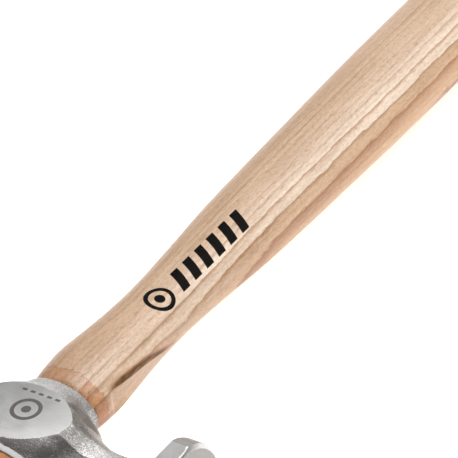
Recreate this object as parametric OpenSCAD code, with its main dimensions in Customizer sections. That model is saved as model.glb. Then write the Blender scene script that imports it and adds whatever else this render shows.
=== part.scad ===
// Cross peen hammer: a forged steel head wedged on a turned ash handle.
//
// The hammer lies on its side, as it does when it is put down on a bench.
//   +X  along the head, towards the round striking face
//   +Y  along the handle, away from the head
//   +Z  up, square to the flat cheeks
// The origin is under the middle of the hammer's outline, on the surface it lies on.
// Inside the modules the head and the handle are drawn about the centre of the eye.

/* [Head] */
// Distance from the middle of the eye to the striking face
face_x = 51.2; // [44:0.1:58]
// Distance from the middle of the eye to the tip of the peen
peen_x = 62; // [50:0.5:80]
// Diameter of the round poll
poll_d = 29.4; // [26:0.1:34]
// Length of the straight band round the poll
poll_band = 4.6; // [3:0.1:8]
// Width of the chamfer round the striking face, measured across it
face_chamfer = 1.1; // [0.5:0.1:2]
// Length of that chamfer along the head
face_chamfer_x = 0.7; // [0.3:0.1:1.5]
// Thickness of the head over its two flat cheeks
cheek_t = 21.8; // [18:0.1:26]
// Length of the eye block along the head
block_l = 32; // [28:0.5:38]
// Height of the eye block from the top of the head to the root of the collar
block_h = 24.2; // [20:0.1:28]
// Across-flats size of the octagonal waist behind the poll
neck_af = 10; // [8:0.5:14]
// Across-flats size of the neck on the peen side
peen_neck_af = 13; // [10:0.5:14]
// Width of the peen along its edge
peen_w = 27; // [20:0.5:29]
// Thickness of the peen at its root
peen_root_t = 15.5; // [10:0.5:18]
// Diameter of the rounded peen edge
peen_edge_d = 3.6; // [2:0.2:6]

/* [Eye and collar] */
// Length of the eye along the head
eye_l = 20; // [16:0.5:22]
// Width of the eye across the head
eye_w = 13.6; // [10:0.2:15]
// Length of the collar's oval rim
collar_l = 23.6; // [22.5:0.1:26]
// Width of the collar's oval rim
collar_w = 17.4; // [16.2:0.1:20]
// Distance from the middle of the eye to the collar's rim
collar_y = 15.7; // [14:0.1:19]

/* [Handle] */
// Distance from the middle of the eye to the butt of the handle
butt_y = 307; // [260:1:360]
// Largest width of the grip, along the head
grip_w = 28.4; // [24:0.1:34]
// Thickness of the handle as a share of its width
grip_ratio = 0.78; // [0.65:0.01:0.9]
// How far the handle's end stands out of the top of the head
proud = 0.4; // [0:0.1:1.5]

/* [Wedges] */
// Depth of the sawn kerf and of the wooden wedge that fills it
kerf_depth = 19; // [12:0.5:22]
// Thickness of the wooden wedge at the top of the head
kerf_w = 3; // [2:0.1:4]
// Length of each steel wedge
steel_wedge_h = 11; // [8:0.5:14]
// Width of each steel wedge, across the eye
steel_wedge_w = 9.6; // [7:0.2:11]
// Thickness of each steel wedge at its struck end
steel_wedge_t = 2.2; // [1.5:0.1:3]
// Distance between the two steel wedges
steel_wedge_gap = 9.4; // [8:0.2:12]

/* [Hidden] */

$fn = 96;
slop = 1;                                 // overrun of every cutting shape
poll_r = poll_d / 2;
cheek_z = cheek_t / 2;
head_top = -(block_h / 2 + 0.4);          // the block sits 0.4 off the eye's centre
end_y = head_top - proud;                 // end of the handle's tang
reach = 2 * peen_x;                       // longer than any head
centre_x = (face_x - peen_x) / 2;         // middle of the outline along the head
centre_y = (butt_y - poll_r) / 2;         // and along the handle

steel = "silver";
ash = "burlywood";

// Half-widths of the octagonal waist that joins the eye block to the round poll, as
// [x, half-width]: first where the block falls away to it, then the waist and its flare.
waist = neck_af / 2;
band_x = face_x - poll_band;              // where the poll's straight band starts
poll_flare = [
    [18, 7.9], [21, waist + 1.4], [24, waist + 0.4], [28, waist], [33, waist + 0.1],
    [36, waist + 0.6], [39, waist + 2.3], [41.5, waist + 5.4], [band_x - 2.9, poll_r - 1.4],
    [band_x - 1, poll_r - 0.2], [band_x + slop, poll_r]
];
poll_side = concat([[0, block_h / 2], [13, 11.6], [16, 9.6]], poll_flare);
poll_plan = concat([[0, cheek_z], [12, 10.4], [15, 9.2]], poll_flare);
poll_corner = concat([[0, 12.6], [12, 11.3], [15, 9.5]], poll_flare);

// The same for the neck between the block and the peen, and the peen's own outlines.
neck = peen_neck_af / 2;
edge_r = peen_edge_d / 2;
peen_side = [
    [0, block_h / 2], [13, 11.6], [16, 9.6], [19, neck + 1.2], [22, neck + 0.3], [25, neck],
    [28, peen_root_t / 2 - 0.4], [31, peen_root_t / 2], [34, peen_root_t / 2 - 0.4],
    [peen_x - edge_r, edge_r]
];
peen_plan = [
    [0, cheek_z], [12, 10.4], [15, 9.2], [18, 7.9], [21, neck + 0.4], [24, neck], [28, neck + 0.7],
    [34, 9.2], [44, peen_w / 2 - 2], [54, peen_w / 2 - 0.5], [peen_x, peen_w / 2]
];
peen_corner = [
    [0, 12.6], [12, 11.3], [15, 9.8], [18, 8.4], [21, neck + 0.6], [24, neck + 0.1],
    [27, neck + 0.5], [31, 8.8], [36, 11.8], [42, 15.5], [peen_x, 19]
];

// Handle stations: [y, share of the grip's half-width].
grip_start = 187;
handle_stations = [
    [collar_y, 0.775], [collar_y + 3.8, 0.822], [collar_y + 10, 0.835],
    [38.8, 0.761], [58.5, 0.694], [71.9, 0.731], [85.6, 0.794], [106.4, 0.873],
    [149.5, 0.958], [grip_start, 1], [butt_y - 77, 0.995], [butt_y - 37, 0.955],
    [butt_y - 13, 1.02], [butt_y - 4, 1.015], [butt_y - 1.2, 0.96], [butt_y, 0.86]
];

// Slope of a curve through pts at point i, from its neighbours.
function slope(pts, i) =
    let (a = max(i - 1, 0), b = min(i + 1, len(pts) - 1))
    (pts[b][1] - pts[a][1]) / (pts[b][0] - pts[a][0]);

// Smooth value at t between points i and i + 1.
function blend(pts, i, t) =
    let (h = pts[i + 1][0] - pts[i][0])
    (2 * pow(t, 3) - 3 * t * t + 1) * pts[i][1]
    + (pow(t, 3) - 2 * t * t + t) * h * slope(pts, i)
    + (3 * t * t - 2 * pow(t, 3)) * pts[i + 1][1]
    + (pow(t, 3) - t * t) * h * slope(pts, i + 1);

// The curve through pts with `steps` points on each span.
function curve(pts, steps) = concat(
    [for (i = [0 : len(pts) - 2], s = [0 : steps - 1])
        [pts[i][0] + s / steps * (pts[i + 1][0] - pts[i][0]), blend(pts, i, s / steps)]],
    [pts[len(pts) - 1]]);

// Point on a squared-off oval with half-sizes a and b; power 2 is an ellipse.
function oval_point(a, b, power, angle) = [
    a * sign(cos(angle)) * pow(abs(cos(angle)), 2 / power),
    b * sign(sin(angle)) * pow(abs(sin(angle)), 2 / power)
];
function oval(a, b, power = 2, sides = 72) =
    [for (i = [0 : sides - 1]) oval_point(a, b, power, 360 * i / sides)];

// Mirrors an outline given as [x, half-width] into a closed one.
function both_sides(pts) = concat(
    pts, [for (i = [len(pts) - 1 : -1 : 0]) [pts[i][0], -pts[i][1]]]);

// Moves a shape from the eye's centre to its place on the bench.
module lying() translate([-centre_x, -centre_y, poll_r]) children();

// Extrudes an X-Z outline along Y, from y0 to y1.
module along_y(y0, y1) translate([0, y1, 0]) rotate([90, 0, 0]) linear_extrude(y1 - y0) children();

// Extrudes a Y-Z outline along X, centred.
module along_x(length) rotate([90, 0, 90]) linear_extrude(length, center = true) children();

// Outline of the eye: straight sides and round ends.
module eye_outline(grow = 0) {
    r = eye_w / 2 + grow;
    square([eye_l - eye_w, 2 * r], center = true);
    for (side = [-1, 1]) translate([side * (eye_l - eye_w) / 2, 0]) circle(r);
}

// Eight-sided bar along X, shaped by three outlines: seen on the cheek, from the top of
// the head, and square to the corners between.
module octagonal_bar(side, plan, corner) intersection() {
    linear_extrude(reach, center = true) polygon(both_sides(side));
    along_y(-reach / 2, reach / 2) polygon(both_sides(plan));
    for_corners() linear_extrude(reach, center = true) polygon(both_sides(corner));
}

// Crosses its child at 45 degrees either way about the head's length.
module for_corners() intersection_for (turn = [-45, 45]) rotate([turn, 0, 0]) children();

// Block round the eye, oval from above, with a flat cheek on each side.
module eye_block() intersection() {
    translate([0, -0.4, 0])
        linear_extrude(cheek_t, center = true) polygon(oval(block_l / 2, block_h / 2, 2.6));
    along_y(head_top - slop, collar_y) polygon(oval(block_l / 2, cheek_z + 1.6, 2.5));
    along_x(block_l + slop) polygon(both_sides([
        [head_top, cheek_z - 1.2], [head_top + 2, cheek_z],
        [block_h / 2 - 3.6, cheek_z], [block_h / 2 + slop, cheek_z - 1.6]
    ]));
}

// Oval collar that carries the eye down to the handle's shoulder.
module collar() along_y(0, collar_y) polygon(oval(collar_l / 2, collar_w / 2));

// Octagonal waist that flares out to the poll, its corners turned down to the round.
module waisted_neck() intersection() {
    octagonal_bar(poll_side, poll_plan, poll_corner);
    rotate([0, 90, 0]) cylinder(r = poll_r, h = face_x - poll_band + slop / 2);
}

// Round poll with a chamfer round the striking face.
module poll() translate([face_x - poll_band, 0, 0]) rotate([0, 90, 0]) rotate_extrude()
    polygon([
        [0, 0], [poll_r, 0], [poll_r, poll_band - face_chamfer_x],
        [poll_r - face_chamfer, poll_band], [0, poll_band]
    ]);

// Neck and wedge-shaped peen; the rounded edge runs across the handle.
module peen() mirror([1, 0, 0]) {
    octagonal_bar(peen_side, peen_plan, peen_corner);
    intersection() {
        translate([peen_x - edge_r, 0, 0]) cylinder(r = edge_r, h = peen_w, center = true);
        along_y(-edge_r, edge_r) polygon(both_sides(peen_plan));
    }
}

// Tapered kerf, wide at the top of the head, as long as the eye.
module kerf() along_x(eye_l + slop) polygon(both_sides([
    [end_y - 0.01, kerf_w / 2], [end_y + kerf_depth, 0.5]
]));

// Body of one steel wedge, set at x across the kerf.
module steel_wedge(x) translate([x, 0, 0]) linear_extrude(steel_wedge_w, center = true)
    polygon([
        [-steel_wedge_t / 2, end_y], [steel_wedge_t / 2, end_y],
        [0.3, end_y + steel_wedge_h], [-0.3, end_y + steel_wedge_h]
    ]);

module both_steel_wedges() for (side = [-1, 1]) steel_wedge(side * steel_wedge_gap / 2);

// Smooth body of the handle from the collar to the butt.
module grip() {
    stations = curve(handle_stations, 4);
    sides = 40;
    rings = len(stations);
    points = [for (s = stations, i = [0 : sides - 1])
        let (p = oval_point(s[1] * grip_w / 2, s[1] * grip_w * grip_ratio / 2, 2.15, 360 * i / sides))
        [p[0], s[0], p[1]]];
    walls = [for (r = [0 : rings - 2], i = [0 : sides - 1])
        let (j = (i + 1) % sides)
        [r * sides + i, r * sides + j, (r + 1) * sides + j, (r + 1) * sides + i]];
    start = [for (i = [sides - 1 : -1 : 0]) i];
    finish = [for (i = [0 : sides - 1]) (rings - 1) * sides + i];
    polyhedron(points, concat(walls, [start], [finish]), convexity = 4);
}

module head() color(steel) lying() difference() {
    union() {
        eye_block();
        collar();
        waisted_neck();
        poll();
        peen();
    }
    along_y(head_top - slop, collar_y + slop) eye_outline();
}

module handle() color(ash) lying() difference() {
    union() {
        along_y(end_y, collar_y) eye_outline();
        grip();
    }
    kerf();
    both_steel_wedges();
}

module wood_wedge() color("tan") lying() difference() {
    intersection() {
        kerf();
        along_y(end_y, collar_y) eye_outline();
    }
    both_steel_wedges();
}

module steel_wedge_front() color("dimgray") lying() steel_wedge(steel_wedge_gap / 2);

module steel_wedge_rear() color("dimgray") lying() steel_wedge(-steel_wedge_gap / 2);

head();
handle();
wood_wedge();
steel_wedge_front();
steel_wedge_rear();
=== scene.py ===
"""Looks of a cross peen hammer that lies on its side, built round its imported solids.

The forged head, the handle and the wedges are made here as finished meshes, each with its
own surface: blasted and ground steel, lacquered ash, sawn end grain. Shapes are worked out
in millimetres about the centre of the eye, with +X towards the striking face, +Y along the
handle and +Z up through the cheek, and are moved into the frame, in metres, at the end.
"""

import logging
import math
from dataclasses import dataclass, field
from enum import Enum
from typing import Callable, Sequence

import bmesh
import bpy
import numpy as np
from mathutils import Matrix, Vector

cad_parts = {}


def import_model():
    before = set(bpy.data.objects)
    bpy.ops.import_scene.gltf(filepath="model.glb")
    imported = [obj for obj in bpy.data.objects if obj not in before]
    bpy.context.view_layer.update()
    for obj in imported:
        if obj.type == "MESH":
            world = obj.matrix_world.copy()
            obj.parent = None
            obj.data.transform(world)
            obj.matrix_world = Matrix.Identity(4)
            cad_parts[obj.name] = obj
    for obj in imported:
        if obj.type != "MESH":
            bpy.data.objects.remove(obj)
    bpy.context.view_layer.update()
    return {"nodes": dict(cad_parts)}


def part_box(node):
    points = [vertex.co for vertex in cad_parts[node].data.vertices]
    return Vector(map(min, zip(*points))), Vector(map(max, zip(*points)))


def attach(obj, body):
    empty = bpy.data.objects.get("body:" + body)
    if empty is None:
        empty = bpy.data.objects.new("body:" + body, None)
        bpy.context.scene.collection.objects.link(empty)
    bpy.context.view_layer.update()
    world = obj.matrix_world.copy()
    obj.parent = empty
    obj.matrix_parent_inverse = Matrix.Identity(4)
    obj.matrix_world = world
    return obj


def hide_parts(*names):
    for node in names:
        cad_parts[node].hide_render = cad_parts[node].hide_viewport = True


LOG = logging.getLogger("hammer")
MM = 0.001
TINY = 1e-9

Points = np.ndarray
Field = Callable[[Points], np.ndarray]
Colour = tuple[float, float, float]
Stretch = tuple[float, float, float]
Socket = bpy.types.NodeSocket
Value = object


# ---------------------------------------------------------------------------------------
# Curves and shape fields
# ---------------------------------------------------------------------------------------


@dataclass(frozen=True)
class Profile:
    """A smooth curve through a few stations, level beyond the first and the last.

    Args:
        stations: (place, value) pairs in rising order of place.
    """

    stations: tuple[tuple[float, float], ...]

    def __call__(self, place: np.ndarray) -> np.ndarray:
        """Value of the curve at each place."""
        at, value = np.array(self.stations, float).T
        rise = np.diff(value) / np.diff(at)
        slope = np.concatenate([[rise[0]], 0.5 * (rise[1:] + rise[:-1]), [rise[-1]]])
        turns = np.concatenate([[False], rise[1:] * rise[:-1] <= 0, [False]])
        slope[turns] = 0.0
        span = np.clip(np.searchsorted(at, place) - 1, 0, len(at) - 2)
        width = at[span + 1] - at[span]
        t = np.clip((place - at[span]) / width, 0.0, 1.0)
        return (
            (2 * t**3 - 3 * t**2 + 1) * value[span]
            + (t**3 - 2 * t**2 + t) * width * slope[span]
            + (3 * t**2 - 2 * t**3) * value[span + 1]
            + (t**3 - t**2) * width * slope[span + 1]
        )


def smooth_max(a: np.ndarray, b: np.ndarray, radius: float | np.ndarray) -> np.ndarray:
    """Larger of two fields, with their meeting edge rounded to about a radius."""
    bump = np.maximum(radius - np.abs(a - b), 0.0)
    return np.maximum(a, b) + bump * bump / (4 * radius)


def smooth_min(a: np.ndarray, b: np.ndarray, radius: float) -> np.ndarray:
    """Smaller of two fields, with the corner between them filled to about a radius."""
    return -smooth_max(-a, -b, radius)


def radial_gap(u: np.ndarray, v: np.ndarray, a: np.ndarray, b: np.ndarray, power: np.ndarray) -> np.ndarray:
    """How far points lie outside a squared-off oval, measured from its centre.

    Args:
        u: First coordinates of the points.
        v: Second coordinates of the points.
        a: Half-size of the oval along u, at each point.
        b: Half-size along v.
        power: Squareness of the oval; 2 is an ellipse.

    Returns:
        Distances, negative inside.
    """
    reach = np.hypot(u, v) + TINY
    share = (np.abs(u / a) ** power + np.abs(v / b) ** power) ** (1 / power) + TINY
    return reach * (1 - 1 / share)


def gradient(shape: Field, points: Points, step: float = 0.01) -> Points:
    """Unit outward normals of a field.

    Args:
        shape: The field, negative inside the solid.
        points: Where the normals are wanted.
        step: How far to look to each side, in mm.

    Returns:
        One normal for each point.
    """
    slopes = np.empty_like(points)
    for axis in range(3):
        nudge = np.zeros(3)
        nudge[axis] = step
        slopes[:, axis] = shape(points + nudge) - shape(points - nudge)
    return slopes / np.maximum(np.linalg.norm(slopes, axis=1, keepdims=True), TINY)


def split_quads(shape: Field, points: Points, quads: np.ndarray) -> np.ndarray:
    """Cuts each quad in two along the diagonal nearer the surface, so that edges stay crisp.

    Args:
        shape: The field that the quads were carved from.
        points: Corner points.
        quads: Four corner numbers for each face.

    Returns:
        Three corner numbers for each triangle.
    """
    first, second = (np.abs(shape((points[quads[:, i]] + points[quads[:, i + 2]]) / 2)) for i in (0, 1))
    a, b, c, d = np.where(second < first, np.roll(quads, -1, axis=1).T, quads.T)
    return np.concatenate([np.stack([a, b, c], axis=1), np.stack([a, c, d], axis=1)])


@dataclass
class Carver:
    """Turns a shape field into a closed mesh of quads whose corners sit on its creases.

    Args:
        low: Lowest corner of the space to look in, in mm.
        high: Highest corner.
        step: Size of a cell.
        halvings: How many times the search for the surface on a grid edge is halved.
        pull: How strongly a corner is drawn to the middle of its surface points.
    """

    low: Sequence[float]
    high: Sequence[float]
    step: float
    halvings: int = 9
    pull: float = 0.02

    def carve(self, shape: Field) -> tuple[Points, np.ndarray]:
        """Finds the surface where the field is zero.

        Args:
            shape: The field, negative inside the solid.

        Returns:
            Corner points and quads, with the faces turned outwards.
        """
        low = np.array(self.low, float)
        counts = np.ceil((np.array(self.high) - low) / self.step).astype(int) + 1
        ticks = [low[i] + self.step * np.arange(counts[i]) for i in range(3)]
        grid = np.stack(np.meshgrid(*ticks, indexing="ij"), axis=-1)
        values = np.concatenate([shape(slab.reshape(-1, 3)) for slab in grid]).reshape(counts)
        strides = np.array([counts[1] * counts[2], counts[2], 1])
        cells, hits, normals, quads = [], [], [], []
        for axis in range(3):
            start, end = self._ends(values, axis)
            crossing = np.argwhere((start < 0) != (end < 0))
            others = [(axis + 1) % 3, (axis + 2) % 3]
            crossing = crossing[(crossing[:, others] > 0).all(axis=1)]
            inside_first = start[tuple(crossing.T)] < 0
            place = self._meet(shape, low + crossing * self.step, axis)
            back, down = (strides[other] for other in others)
            base = crossing @ strides
            ring = np.stack([base - back - down, base - down, base, base - back], axis=1)
            quads.append(np.where(inside_first[:, None], ring, ring[:, ::-1]))
            cells.append(ring.reshape(-1))
            hits.append(np.repeat(place, 4, axis=0))
            normals.append(np.repeat(gradient(shape, place), 4, axis=0))
        used, corner_of = np.unique(np.concatenate(cells), return_inverse=True)
        corners = self._corners(used, corner_of, np.concatenate(hits), np.concatenate(normals), low, strides)
        return corners, np.searchsorted(used, np.concatenate(quads))

    @staticmethod
    def _ends(values: np.ndarray, axis: int) -> tuple[np.ndarray, np.ndarray]:
        """Field values at the two ends of every grid edge along an axis."""
        first = [slice(None)] * 3
        second = [slice(None)] * 3
        first[axis] = slice(None, -1)
        second[axis] = slice(1, None)
        return values[tuple(first)], values[tuple(second)]

    def _meet(self, shape: Field, start: Points, axis: int) -> Points:
        """Where each grid edge from start along an axis meets the surface, by halving."""
        near = np.zeros(len(start))
        far = np.full(len(start), self.step)
        sign = np.sign(shape(start))
        for _ in range(self.halvings):
            middle = 0.5 * (near + far)
            probe = start.copy()
            probe[:, axis] += middle
            same = np.sign(shape(probe)) == sign
            near = np.where(same, middle, near)
            far = np.where(same, far, middle)
        found = start.copy()
        found[:, axis] += 0.5 * (near + far)
        return found

    def _corners(self, used: np.ndarray, corner_of: np.ndarray, hits: Points, normals: Points,
                 low: np.ndarray, strides: np.ndarray) -> Points:
        """One corner point for each cell: the place that best fits its surface planes."""
        size = len(used)
        tally = np.bincount(corner_of, minlength=size).astype(float)[:, None]
        centre = np.stack([np.bincount(corner_of, hits[:, i], size) for i in range(3)], axis=1) / tally
        matrix = np.zeros((size, 3, 3))
        offset = np.zeros((size, 3))
        reach = np.einsum("ij,ij->i", normals, hits - centre[corner_of])
        for i in range(3):
            offset[:, i] = np.bincount(corner_of, normals[:, i] * reach, size)
            for j in range(3):
                matrix[:, i, j] = np.bincount(corner_of, normals[:, i] * normals[:, j], size)
        matrix += self.pull * tally[:, :, None] * np.eye(3)
        shift = np.linalg.solve(matrix, offset[:, :, None])[:, :, 0]
        index = np.stack([used // strides[0], used % strides[0] // strides[1], used % strides[1]], axis=1)
        floor = low + index * self.step
        return np.clip(centre + shift, floor, floor + self.step)


# ---------------------------------------------------------------------------------------
# Meshes
# ---------------------------------------------------------------------------------------


@dataclass(frozen=True)
class Seat:
    """Where the eye's centre sits in the frame, in metres."""

    place: Vector

    def lay(self, points: Points) -> Points:
        """Points in mm about the eye's centre, moved into the frame in metres."""
        return points * MM + np.array(self.place)


def link_object(name: str, data: bpy.types.ID) -> bpy.types.Object:
    """Makes an object from a mesh, a light or a camera and links it to the scene."""
    made = bpy.data.objects.new(name, data)
    bpy.context.scene.collection.objects.link(made)
    return made


def new_piece(name: str, points: Points, faces: np.ndarray | Sequence[Sequence[int]]) -> bpy.types.Object:
    """Makes a smooth-shaded mesh object at the origin.

    Args:
        name: Name of the piece.
        points: Corner points, in metres in the frame.
        faces: Corner numbers of each face; an array when all have the same number of sides.

    Returns:
        The new object, linked to the scene.
    """
    mesh = bpy.data.meshes.new(name)
    if isinstance(faces, np.ndarray):
        sides = faces.shape[1]
        mesh.vertices.add(len(points))
        mesh.vertices.foreach_set("co", np.ascontiguousarray(points, np.float32).ravel())
        mesh.loops.add(faces.size)
        mesh.loops.foreach_set("vertex_index", faces.astype(np.int32).ravel())
        mesh.polygons.add(len(faces))
        mesh.polygons.foreach_set("loop_start", np.arange(0, faces.size, sides, dtype=np.int32))
        mesh.update(calc_edges=True)
    else:
        mesh.from_pydata([tuple(p) for p in points], [], [tuple(f) for f in faces])
    mesh.validate()
    mesh.shade_smooth()
    return link_object(name, mesh)


def add_values(piece: bpy.types.Object, name: str, values: np.ndarray) -> None:
    """Stores one number for each corner point of a piece, for its materials to read."""
    layer = piece.data.attributes.new(name, "FLOAT", "POINT")
    layer.data.foreach_set("value", np.ascontiguousarray(values, np.float32))


# ---------------------------------------------------------------------------------------
# Materials
# ---------------------------------------------------------------------------------------


class NodeSheet:
    """A material's node tree with short ways to add and join nodes."""

    def __init__(self, name: str) -> None:
        """Starts an empty material with its shader and output."""
        self.material = bpy.data.materials.new(name)
        self.material.use_nodes = True
        self.tree = self.material.node_tree
        self.tree.nodes.clear()
        output = self.tree.nodes.new("ShaderNodeOutputMaterial")
        self.shader = self.tree.nodes.new("ShaderNodeBsdfPrincipled")
        self.join(self.shader.outputs[0], output.inputs[0])
        coordinates = self.tree.nodes.new("ShaderNodeTexCoord").outputs["Object"]
        self.millimetres = self.vector("SCALE", coordinates, scale=1 / MM)

    def join(self, source: Socket, target: Socket) -> None:
        """Links two sockets."""
        self.tree.links.new(source, target)

    def feed(self, socket: Socket, value: Value) -> None:
        """Links a socket to another one, or sets it to a constant; a bare colour gets its alpha."""
        if isinstance(value, bpy.types.NodeSocket):
            self.join(value, socket)
        elif socket.type == "RGBA":
            socket.default_value = (*value, 1.0)
        else:
            socket.default_value = value

    def attribute(self, name: str) -> Socket:
        """A number stored on the mesh."""
        node = self.tree.nodes.new("ShaderNodeAttribute")
        node.attribute_name = name
        return node.outputs["Fac"]

    def split(self, vector: Value) -> tuple[Socket, ...]:
        """The three parts of a vector."""
        node = self.tree.nodes.new("ShaderNodeSeparateXYZ")
        self.feed(node.inputs[0], vector)
        return tuple(node.outputs)

    def bundle(self, x: Value, y: Value, z: Value) -> Socket:
        """A vector made from three parts."""
        node = self.tree.nodes.new("ShaderNodeCombineXYZ")
        for socket, value in zip(node.inputs, (x, y, z)):
            self.feed(socket, value)
        return node.outputs[0]

    def math(self, operation: str, a: Value, b: Value = 0.0, clamp: bool = False) -> Socket:
        """One sum on numbers."""
        node = self.tree.nodes.new("ShaderNodeMath")
        node.operation = operation
        node.use_clamp = clamp
        self.feed(node.inputs[0], a)
        self.feed(node.inputs[1], b)
        return node.outputs[0]

    def plus(self, a: Value, b: Value) -> Socket:
        """Two numbers added."""
        return self.math("ADD", a, b)

    def minus(self, a: Value, b: Value) -> Socket:
        """The second number taken from the first."""
        return self.math("SUBTRACT", a, b)

    def times(self, a: Value, b: Value, *more: Value) -> Socket:
        """Two or more numbers multiplied."""
        product = self.math("MULTIPLY", a, b)
        for factor in more:
            product = self.math("MULTIPLY", product, factor)
        return product

    def most(self, a: Value, b: Value) -> Socket:
        """The larger of two numbers."""
        return self.math("MAXIMUM", a, b)

    def gap(self, a: Value, b: Value = 0.0) -> Socket:
        """How far two numbers lie apart."""
        return self.math("ABSOLUTE", self.minus(a, b))

    def vector(self, operation: str, a: Value, b: Value = (0.0, 0.0, 0.0), scale: float = 1.0) -> Socket:
        """One sum on vectors; LENGTH gives a number."""
        node = self.tree.nodes.new("ShaderNodeVectorMath")
        node.operation = operation
        self.feed(node.inputs[0], a)
        self.feed(node.inputs[1], b)
        if operation == "SCALE":
            node.inputs["Scale"].default_value = scale
        return node.outputs["Value" if operation == "LENGTH" else "Vector"]

    def noise(self, place: Value, scale: float, detail: float = 2.0, rough: float = 0.5) -> Socket:
        """Cloudy noise between 0 and 1."""
        node = self.tree.nodes.new("ShaderNodeTexNoise")
        self.feed(node.inputs["Vector"], place)
        node.inputs["Scale"].default_value = scale
        node.inputs["Detail"].default_value = detail
        node.inputs["Roughness"].default_value = rough
        return node.outputs["Fac"]

    def drawn(self, place: Value, stretch: Stretch, detail: float = 2.0, rough: float = 0.5,
              scale: float = 1.0) -> Socket:
        """Noise drawn out along the axes, as wood fibres and brush marks are.

        Args:
            place: Coordinates in mm.
            stretch: Multiplier along each axis; the smaller, the longer the pattern is drawn.
            detail: Layers of finer noise.
            rough: Strength of each finer layer.
            scale: Size multiplier of the noise itself.

        Returns:
            A number between 0 and 1.
        """
        return self.noise(self.vector("MULTIPLY", place, stretch), scale, detail, rough)

    def grade(self, value: Value, low: float, high: float, to_low: float = 0.0,
              to_high: float = 1.0) -> Socket:
        """Remaps a range smoothly onto another and holds it there."""
        node = self.tree.nodes.new("ShaderNodeMapRange")
        node.interpolation_type = "SMOOTHSTEP"
        for socket, number in zip(node.inputs, (value, low, high, to_low, to_high)):
            self.feed(socket, number)
        return node.outputs[0]

    def within(self, value: Value, limit: float, soft: float) -> Socket:
        """1 below a limit and 0 above it, with a soft edge on both sides of it."""
        return self.grade(value, limit - soft, limit + soft, 1.0, 0.0)

    def ramp(self, value: Value, stops: Sequence[tuple[float, Colour]]) -> Socket:
        """Colours along a scale."""
        node = self.tree.nodes.new("ShaderNodeValToRGB")
        self.feed(node.inputs[0], value)
        bar = node.color_ramp
        while len(bar.elements) < len(stops):
            bar.elements.new(0.5)
        for element, (place, colour) in zip(bar.elements, stops):
            element.position = place
            element.color = (*colour, 1.0)
        return node.outputs[0]

    def mix(self, share: Value, a: Value, b: Value, way: str = "MIX") -> Socket:
        """Mixes two colours by a share, or blends them in another way."""
        node = self.tree.nodes.new("ShaderNodeMix")
        node.data_type = "RGBA"
        node.blend_type = way
        for socket, value in ((node.inputs[0], share), (node.inputs[6], a), (node.inputs[7], b)):
            self.feed(socket, value)
        return node.outputs[2]

    def tint(self, share: Value, colour: Value, by: Value) -> Socket:
        """Multiplies a colour by another one, as strongly as the share says."""
        return self.mix(share, colour, by, "MULTIPLY")

    def bump(self, height: Value, depth: float) -> Socket:
        """Small relief from a height between 0 and 1, in millimetres of depth."""
        node = self.tree.nodes.new("ShaderNodeBump")
        node.inputs["Strength"].default_value = 1.0
        node.inputs["Distance"].default_value = depth * MM
        self.feed(node.inputs["Height"], height)
        return node.outputs[0]

    def set(self, **values: Value) -> None:
        """Sets or links the shader's inputs, with _ for a space in their names."""
        for name, value in values.items():
            self.feed(self.shader.inputs[name.replace("_", " ")], value)


@dataclass(frozen=True)
class BlastedSteel:
    """Shot-blasted forging skin: a fine salt-and-pepper grain, matt and a little dark.

    Args:
        dark: Colour of the darkest specks.
        middle: Colour between them.
        pale: Colour of the brightest specks.
        grain_per_mm: Fineness of the grain.
        pit_size: How much coarser the pits are, as a share of the grain's fineness.
        painted_shade_depth: How much darker the painted shade, read from the mesh's "scale" values, makes
            it.
        relief: Depth of the grain, in mm.
    """

    dark: Colour = (0.19, 0.18, 0.17)
    middle: Colour = (0.45, 0.44, 0.43)
    pale: Colour = (0.66, 0.65, 0.635)
    grain_per_mm: float = 3.0
    pit_size: float = 0.42
    painted_shade_depth: float = 0.26
    relief: float = 0.075

    def make(self) -> bpy.types.Material:
        """Builds the material."""
        sheet = NodeSheet("blasted_steel")
        grain = sheet.noise(sheet.millimetres, self.grain_per_mm, 2.0, 0.62)
        pits = sheet.noise(sheet.millimetres, self.grain_per_mm * self.pit_size, 3.0, 0.6)
        cloud = sheet.noise(sheet.millimetres, 0.16, 3.0)
        streak = sheet.drawn(sheet.millimetres, (0.5, 1.6, 0.8))
        # painted shade: the mesh's "scale" values darken the grain in the head's hollows and on its shaded
        # sides, broken up by streaks.
        left = sheet.times(sheet.attribute("scale"), sheet.grade(streak, 0.3, 0.65, 0.55, 1.0))
        tone = sheet.plus(sheet.times(grain, 0.75), sheet.times(cloud, 0.28))
        tone = sheet.minus(tone, sheet.times(left, self.painted_shade_depth))
        colour = sheet.ramp(tone, ((0.34, self.dark), (0.52, self.middle), (0.7, self.pale)))
        height = sheet.plus(grain, sheet.times(pits, 1.3))
        rough = sheet.grade(grain, 0.3, 0.7, 0.56, 0.4)
        sheet.set(Base_Color=colour, Metallic=1.0, Roughness=rough, Normal=sheet.bump(height, self.relief))
        return sheet.material


class Brushing(Enum):
    """Which way a ground surface is brushed, as multipliers on millimetre coordinates."""

    ACROSS_HANDLE = (0.12, 5.0, 5.0)
    ROUND_POLL = (5.0, 0.35, 0.35)
    SPIRAL_FACE = (1.0, 3.2, 0.5)


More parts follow.
